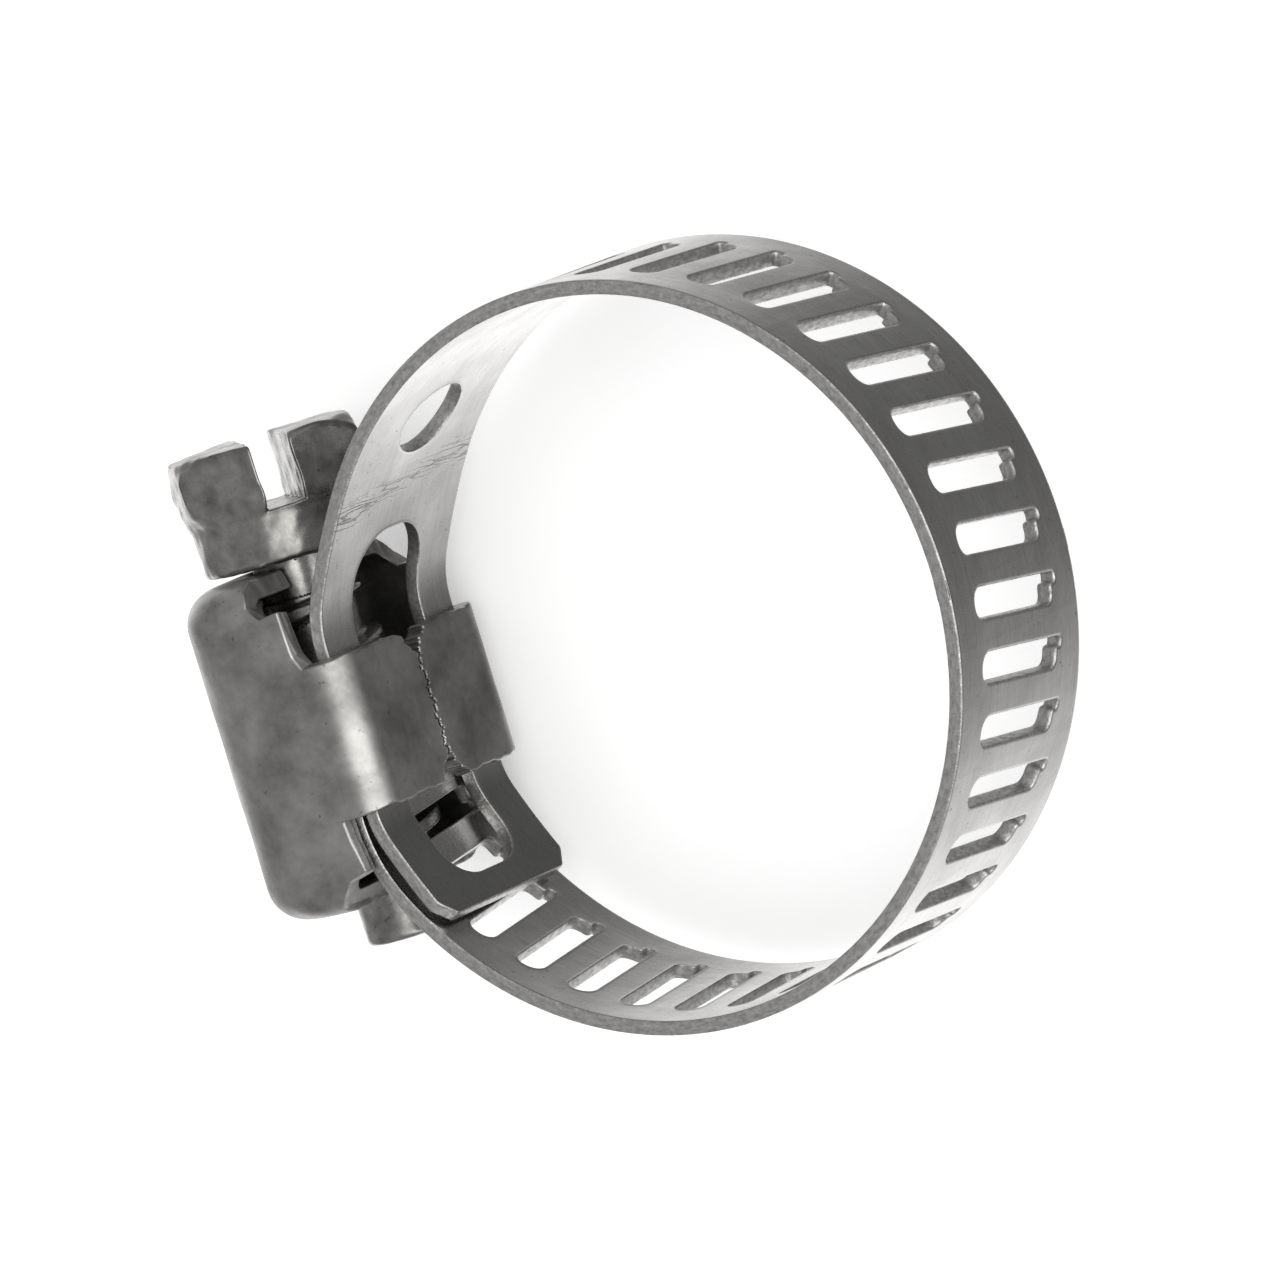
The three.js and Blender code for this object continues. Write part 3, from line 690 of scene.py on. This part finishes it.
CREASE_STATION = 5.3
band_face = steel("band_rolled_steel", grey(0.67, 0.012), grey(0.54, 0.015), rough=0.22, grain=16.0,
                  along=(0.35, 9.0, 1), blotch=0.30, dent=0.00002, crease_with_painted_shade=True)
band_edge = sheared_steel("band_sheared_edge", grey(0.76, 0.012), grey(0.36, 0.015))
housing_face = steel("housing_pressed_steel", grey(0.54, 0.012), grey(0.26, 0.02), rough=0.40, grain=12.0,
                     along=(1.2, 3.0, 3.0), blotch=0.42, dent=0.00003)
screw_face = steel("screw_worn_steel", grey(0.50, 0.02), grey(0.20, 0.02), rough=0.27, grain=9.0,
                   along=(2.0, 1.2, 2.0), blotch=0.8, dent=0.00006)

# ---- the strip ----
SLOT_OUTLINE = [(0.5, 2.5), (-0.5, 2.5), (-0.5, -2.66), (-0.16, -2.66), (-0.16, -2.34), (0.5, -2.34)]
SLOT_RADII = [0.42, 0.62, 0.10, 0.10, 0.20, 0.30]
slot_local = rounded(SLOT_OUTLINE, SLOT_RADII, 0.24)


def slot_at(station):
    a, b = slot_local[:, 0], slot_local[:, 1]
    s = station + a * math.cos(SLANT) - b * math.sin(SLANT)
    return np.stack([s, MID_Z + a * math.sin(SLANT) + b * math.cos(SLANT)], 1)


def station_at_y(y, low, high):
    stations = np.linspace(low, high, 4000)
    return float(stations[np.argmin(np.abs(on_path(stations)[1] - y))])


WINDOW_LOW_Y, WINDOW_HIGH_Y, WINDOW_HALF = -6.1, 6.0, 2.05
window_low = station_at_y(WINDOW_LOW_Y, TONGUE_END, TONGUE_STATION)
window_high = station_at_y(WINDOW_HIGH_Y, 1.0, 6.0)
window = rounded(
    [(window_low, MID_Z - WINDOW_HALF), (window_high, MID_Z - WINDOW_HALF),
     (window_high, MID_Z + WINDOW_HALF), (window_low, MID_Z + WINDOW_HALF)],
    [1.35, 1.75, 1.75, 1.35], 0.25)
OVAL_STATION, OVAL_HALF_LENGTH, OVAL_HALF_WIDTH = 7.9, 1.4, 1.6
angles = np.linspace(0, 2 * math.pi, 45)[:-1]
oval = np.stack([OVAL_STATION + OVAL_HALF_LENGTH * np.cos(angles),
                 MID_Z + OVAL_HALF_WIDTH * np.sin(angles)], 1)
slots = [slot_at(SLOTTED_START + (j + 0.5) * PITCH) for j in range(2 * LONG_LENGTHS + SHORT_LENGTHS + 2)]
HOLES = [window, oval] + slots

LENGTHS = ["band_length_%02d" % (i + 1) for i in range(TAIL)] + ["band_free_end"]


def strip_piece(name, s0, s1, end=None):
    reach = SHEET_INSET + 0.02
    here = [h for h in HOLES if h[:, 0].max() > s0 - reach and h[:, 0].min() < s1 + reach]
    made = strip_mesh(name, s0, s1, here, end)
    made.data.materials.append(band_face)
    made.data.materials.append(band_edge)
    return made


# Seams between the pieces of strip are on plain stretches or halfway between hinges.
TONGUE_SEAM_Y, ANCHOR_SEAM, OVAL_SEAM = -2.1, 6.0, 12.5
tongue_seam = TONGUE_SEAM_Y - LOOP_START_Y
piece = strip_piece("band_tongue_strip", TONGUE_END, tongue_seam, "s0")
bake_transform(piece)
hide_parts("band_tongue")

seams = [tongue_seam, ANCHOR_SEAM, OVAL_SEAM]
seams += [(a + b) / 2 for a, b in zip(HINGES[2:], HINGES[3:])]
seams += [STRIP_END]
for k, hinge in enumerate(HINGES):
    before = ROOT if k == 0 else LENGTHS[k - 1]
    after = LENGTHS[k]
    start, stop = seams[k], seams[k + 1]
    number = "%02d" % (k + 1)
    if k == OPEN_PIVOT:
        piece = strip_piece("band_strip_%sa" % number, start, hinge)
        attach(piece, before)
        piece = strip_piece("band_strip_%sb" % number, hinge, stop)
        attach(piece, after)
        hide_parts(after)
        continue
    name = "band_free_end_strip" if k == TAIL else "band_strip_" + number
    piece = strip_piece(name, start, stop, "s1" if k == TAIL else None)
    reach = 0.95  # path points this far on either side of the hinge are worked out and not used
    path_point(hinge - reach)
    path_point(hinge + reach)
    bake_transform(piece)
    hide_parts(after)
    if k == 0:
        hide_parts("band_anchor_strip")

# Thinner stuffing inside the band closes the cut at the opened pivot, where its two sides draw apart.
LAP_REACH, LAP_INSET = 0.32, 0.015


def stuffing(name, start, stop, body):
    z, d = (BAND_Z1 - BAND_Z0) / 2 - LAP_INSET, THICK / 2 - LAP_INSET
    rings = [[(s, MID_Z + a * z, b * d) for a, b in ((-1, -1), (1, -1), (1, 1), (-1, 1))]
             for s in np.linspace(start, stop, 5)]
    chart = np.array(rings).reshape(-1, 3)
    faces = [(0, 1, 2, 3), (19, 18, 17, 16)]
    for k in range(4):
        for i in range(4):
            j = (i + 1) % 4
            faces.append((4 * k + i, 4 * (k + 1) + i, 4 * (k + 1) + j, 4 * k + j))
    made = mesh_object(name, to_space(chart[:, 0], chart[:, 1], chart[:, 2]), faces, None, chart)
    made.data.shade_flat()
    made.data.materials.append(band_face)
    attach(made, body)


pivot = HINGES[OPEN_PIVOT]
stuffing("band_pivot_lap", pivot - LAP_REACH, pivot + LAP_REACH, LENGTHS[OPEN_PIVOT - 1])
stuffing("band_pivot_cap", pivot + LAP_INSET, pivot + LAP_REACH, LENGTHS[OPEN_PIVOT])

# ---- the housing ----
WALL = 0.7
DOME_CORNER, FLAP_CORNER, END_CORNER = 3.1, 1.35, 1.3
FLAP_LOW, FLAP_HIGH = -2.8, 2.4
SCREW_HOLE = 1.62
SEAM_HALF, NOTCH_LENGTH, NOTCH_SLOPE = 0.055, 0.85, 0.86
NOTCH_NORMAL = 0.76  # turns a distance across the notch into one square to its side
SKIN = 0.016  # keeps the uneven surface inside the pressed size
x0, x1 = housing_low[0], housing_high[0]
y0, y1 = housing_low[1], housing_high[1]
half_z = (housing_high[2] - housing_low[2]) / 2
EDGE_X = ANCHOR_X - 0.7
# What is left of the shell, seen along the hose axis: it is cut away where the band comes and goes.
PROFILE = np.array([
    (x0 - 2, y0 - 2), (x0 - 2, y1 + 2), (SCREW_X + 0.3, y1 + 2), (SCREW_X + 0.5, y1),
    (SCREW_X + 0.72, 4.75), (SCREW_X + 1.15, 4.30), (EDGE_X - 0.02, 4.38),
    (EDGE_X + 0.12, FLAP_HIGH + 0.45), (ANCHOR_X - 0.35, FLAP_HIGH),
    (x1 + 2, FLAP_HIGH + 0.04), (x1 + 2, FLAP_LOW), (EDGE_X + 0.1, FLAP_LOW - 0.08), (EDGE_X + 0.14, -3.6),
    (ANCHOR_X - 0.33, -4.72), (SCREW_X + 1.5, -4.95), (SCREW_X + 0.72, -5.75), (SCREW_X + 0.62, y0 - 2)])


def polygon_distance(x, y, loop):
    """Signed distance to a closed polygon, negative inside."""
    best, odd = 1e9, False
    for (ax, ay), (bx, by) in zip(loop, np.roll(loop, -1, 0)):
        ex, ey = bx - ax, by - ay
        t = np.clip(((x - ax) * ex + (y - ay) * ey) / (ex * ex + ey * ey), 0, 1)
        best = np.minimum(best, (x - ax - t * ex) ** 2 + (y - ay - t * ey) ** 2)
        crosses = ((ay > y) != (by > y)) & (x < ex * (y - ay) / (ey if ey else 1e-9) + ax)
        odd = odd ^ crosses
    return np.where(odd, -1, 1) * np.sqrt(best)


def housing_distance(x, y, z):
    dx, dz = x - (x0 + x1) / 2, z - MID_Z
    corner = np.where(dx < 0, DOME_CORNER, FLAP_CORNER)
    qx, qz = np.abs(dx) - (x1 - x0) / 2 + corner, np.abs(dz) - half_z + corner
    section = np.minimum(np.maximum(qx, qz), 0) + np.hypot(np.maximum(qx, 0), np.maximum(qz, 0)) - corner
    a = section + END_CORNER
    b = np.abs(y - (y0 + y1) / 2) - (y1 - y0) / 2 + END_CORNER
    outer = np.minimum(np.maximum(a, b), 0) + np.hypot(np.maximum(a, 0), np.maximum(b, 0)) - END_CORNER
    outer = outer + SKIN + 0.014 * ripple(x, y, z, 3, 1.6)
    shell = np.maximum(outer, -(outer + WALL))
    wave = 0.035 * np.sin(3.1 * z + 1.3 * y) + 0.02 * np.sin(9.0 * z + 4.0 * x)
    keep = polygon_distance(x + wave, y + wave, PROFILE)
    body = smooth_max(shell, keep, 0.10)
    r = np.hypot(x - SCREW_X, dz)
    body = smooth_max(body, SCREW_HOLE - r, 0.25)
    jag = 0.07 * np.sin(7.3 * y) + 0.05 * np.sin(19.0 * y + 1.0) + 0.03 * np.sin(41.0 * y)
    middle = (FLAP_LOW + FLAP_HIGH) / 2
    run = np.abs(y - middle) - (FLAP_HIGH - FLAP_LOW) / 2 + NOTCH_LENGTH
    half = SEAM_HALF + NOTCH_SLOPE * np.maximum(run, 0)
    across = (np.abs(dz - jag) - half) * np.where(run > 0, NOTCH_NORMAL, 1.0)
    slit = np.maximum(across, ANCHOR_X + 0.05 - x)
    return smooth_max(body, -slit, 0.07)


housing = surface_mesh(
    "housing_shell", housing_distance, housing_low - 0.15, housing_high + 0.15, 0.07)
housing.data.materials.append(housing_face)
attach(housing, ROOT)
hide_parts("housing")

# ---- the screw ----
MESH_Y = STRAIGHT_Y + TAIL_HINGE_RISE + PITCH / 2
WORM_LOW, WORM_HIGH = -4.9, 4.5
WORM_HALF, WORM_MID = 4.6, -0.2
THREAD_HALF, THREAD_TAPER = 0.40, 0.26
THREAD_EASE = 0.035  # taken off the thread all over
WORN = 0.012
CREST, ROOT_RADIUS, NECK = 2.17, 1.56, 1.5
COLLAR, COLLAR_LOW, COLLAR_HIGH = 3.07, 5.78, 8.1
HEX_LOW, HEX_TOP, HEX_HALF = 7.55, screw_high[1], 3.175
SLOT_ANGLE = math.radians(40.7)
DRIVE_HALF_WIDTH, DRIVE_DEPTH = 0.65, 2.3


def cylinder(r, y, radius, low, high, k):
    return smooth_max(r - radius, np.abs(y - (low + high) / 2) - (high - low) / 2, k)


def screw_distance(x, y, z):
    px, pz = x - SCREW_X, z - MID_Z
    r = np.hypot(px, pz)
    body = cylinder(r, y, NECK, screw_low[1], WORM_LOW + 0.3, 0.25)
    body = np.minimum(body, cylinder(r, y, ROOT_RADIUS, WORM_LOW, WORM_HIGH, 0.1))
    body = np.minimum(body, cylinder(r, y, NECK, WORM_HIGH - 0.2, COLLAR_LOW + 0.42, 0.1))
    azimuth = np.arctan2(px, pz)
    t = y - MESH_Y - PITCH * (azimuth / (2 * math.pi) - 0.25)
    t = t - PITCH * np.round(t / PITCH)
    width = THREAD_HALF - THREAD_TAPER * (r - ROOT_RADIUS)
    thread = smooth_max((np.abs(t) - width) * 0.93, r - CREST, 0.08)
    thread = smooth_max(thread, np.abs(y - WORM_MID) - WORM_HALF, 0.3)
    body = smooth_min(body, thread + THREAD_EASE, 0.12)
    collar = cylinder(r, y, COLLAR + 0.02 * np.sin(3 * azimuth), COLLAR_LOW, COLLAR_HIGH, 0.25)
    hexagon = 0.0
    for i in range(3):
        a = SLOT_ANGLE + math.radians(30 + 60 * i)
        hexagon = np.maximum(hexagon, np.abs(px * math.sin(a) + pz * math.cos(a)))
    ends = np.abs(y - (HEX_LOW + HEX_TOP) / 2) - (HEX_TOP - HEX_LOW) / 2
    head = smooth_max(hexagon - HEX_HALF, ends, 0.10)
    head = smooth_max(head, (r - 3.15) * 0.752 + (y - HEX_TOP) * 0.659, 0.14)
    head = smooth_max(head, (r - 3.07) * 0.81 - (y - HEX_LOW) * 0.585, 0.20)
    body = np.minimum(body, smooth_min(collar, head, 0.25))
    across = np.abs(px * math.cos(SLOT_ANGLE) - pz * math.sin(SLOT_ANGLE))
    slot = np.maximum(across - DRIVE_HALF_WIDTH, HEX_TOP - DRIVE_DEPTH - y)
    body = smooth_max(body, -slot, 0.10)
    scuff = 0.5 + 0.5 * np.tanh((y - 5.5) * 3)
    return body + WORN + scuff * (0.030 * ripple(x, y, z, 11, 0.42) + 0.008 * ripple(x, y, z, 12, 0.18))


screw = surface_mesh(
    "screw_body", screw_distance, screw_low - 0.12, screw_high + 0.12, 0.075)
screw.data.materials.append(screw_face)
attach(screw, "screw")
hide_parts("screw")

# ---- floor, light and camera ----
floor_mesh = bpy.data.meshes.new("floor")
SIDE = 6.0
FLOOR_GAP = 0.00002
floor_z = CAD_BOX[0][2] - FLOOR_GAP
corners = [(a * SIDE, b * SIDE, floor_z) for a, b in ((-1, -1), (1, -1), (1, 1), (-1, 1))]
floor_mesh.from_pydata(corners, [], [(0, 1, 2, 3)])
floor = bpy.data.objects.new("floor", floor_mesh)
bpy.context.scene.collection.objects.link(floor)
paper = Nodes("floor_paper")
paper.shader.inputs["Base Color"].default_value = (0.9, 0.9, 0.9, 1)
paper.shader.inputs["Roughness"].default_value = 1.0
paper.shader.inputs["Emission Color"].default_value = (1, 1, 1, 1)
paper.shader.inputs["Emission Strength"].default_value = 0.34
paper.shader.inputs["Specular IOR Level"].default_value = 0.0
floor_mesh.materials.append(paper.material)
floor.visible_glossy = False

world = bpy.data.worlds.new("studio")
bpy.context.scene.world = world
world.use_nodes = True
tree = world.node_tree
tree.nodes.clear()


def world_node(kind, **settings):
    node = tree.nodes.new(kind)
    for key, value in settings.items():
        setattr(node, key, value)
    return node


def toward(direction, low, high):
    """0 to 1 as a ray turns from `low` to `high` along a direction, by its cosine."""
    dot = world_node("ShaderNodeVectorMath", operation="DOT_PRODUCT")
    tree.links.new(ray, dot.inputs[0])
    dot.inputs[1].default_value = Vector(direction).normalized()
    span = world_node("ShaderNodeMapRange", interpolation_type="SMOOTHSTEP")
    span.inputs[1].default_value, span.inputs[2].default_value = low, high
    tree.links.new(dot.outputs["Value"], span.inputs[0])
    return span.outputs[0], dot.outputs["Value"]


def mixed(factor, a, b):
    node = world_node("ShaderNodeMix", data_type="RGBA")
    tree.links.new(factor, node.inputs[0])
    for i, colour in ((6, a), (7, b)):
        if isinstance(colour, tuple):
            node.inputs[i].default_value = (*colour, 1)
        else:
            tree.links.new(colour, node.inputs[i])
    return node.outputs[2]


ray = world_node("ShaderNodeTexCoord").outputs["Generated"]
# What polished steel sees: a room that brightens towards one side, with a soft box opposite.
BRIGHT_SIDE, SOFT_BOX = (-0.866, -0.5, 0), (0.83, -0.07, 0.50)
ROOM_ABOVE, SOFT_BOX_LIGHT, ROOM_LIGHT = (0.33, 0.33, 0.33), (1.9, 1.9, 1.85), (1.12, 1.12, 1.12)
BRIGHTEST, RAMP_SCALE = 1.5, 0.8
_, side = toward(BRIGHT_SIDE, -1, 1)
below = world_node("ShaderNodeValToRGB")
LOWER = [(-0.56, 0.15), (-0.40, 0.19), (-0.18, 0.36), (0.0, 0.55), (0.2, 0.85), (0.38, 1.15), (0.55, 1.4)]
while len(below.color_ramp.elements) < len(LOWER):
    below.color_ramp.elements.new(0.5)
for element, (at, level) in zip(below.color_ramp.elements, LOWER):
    element.position = at * RAMP_SCALE + 0.5
    element.color = (*[level / BRIGHTEST] * 3, 1)
place = world_node("ShaderNodeMath", operation="MULTIPLY_ADD")
tree.links.new(side, place.inputs[0])
place.inputs[1].default_value, place.inputs[2].default_value = RAMP_SCALE, 0.5
tree.links.new(place.outputs[0], below.inputs["Fac"])
brighter = world_node("ShaderNodeVectorMath", operation="SCALE")
tree.links.new(below.outputs["Color"], brighter.inputs[0])
brighter.inputs["Scale"].default_value = BRIGHTEST
soft_box, _ = toward(SOFT_BOX, 0.62, 0.95)
above = mixed(soft_box, ROOM_ABOVE, SOFT_BOX_LIGHT)
height, _ = toward((0, 0, 1), -0.55, -0.15)
studio = mixed(height, brighter.outputs[0], above)
paths = world_node("ShaderNodeLightPath")
studio = mixed(paths.outputs["Is Glossy Ray"], ROOM_LIGHT, studio)
background = world_node("ShaderNodeBackground")
tree.links.new(studio, background.inputs["Color"])
output = world_node("ShaderNodeOutputWorld")
tree.links.new(background.outputs[0], output.inputs[0])

camera_data = bpy.data.cameras.new("camera")
camera = bpy.data.objects.new("camera", camera_data)
bpy.context.scene.collection.objects.link(camera)
CAMERA_PLACE, LOOK, RIGHT = (0.1966, 0.0255, 0.3053), (-0.5492, -0.0704, -0.8327), (0.8091, -0.2945, -0.5086)
right = Vector(RIGHT).normalized()
forward = Vector(LOOK).normalized()
right = (right - forward * right.dot(forward)).normalized()
up = right.cross(forward)
turn = Matrix((right, up, -forward)).transposed().to_4x4()
camera.matrix_world = Matrix.Translation(Vector(CAMERA_PLACE)) @ turn
camera_data.sensor_width = 36.0
camera_data.lens = 307.78
camera_data.clip_start, camera_data.clip_end = 0.01, 20.0
bpy.context.scene.camera = camera
bpy.context.scene.view_settings.view_transform = "Standard"
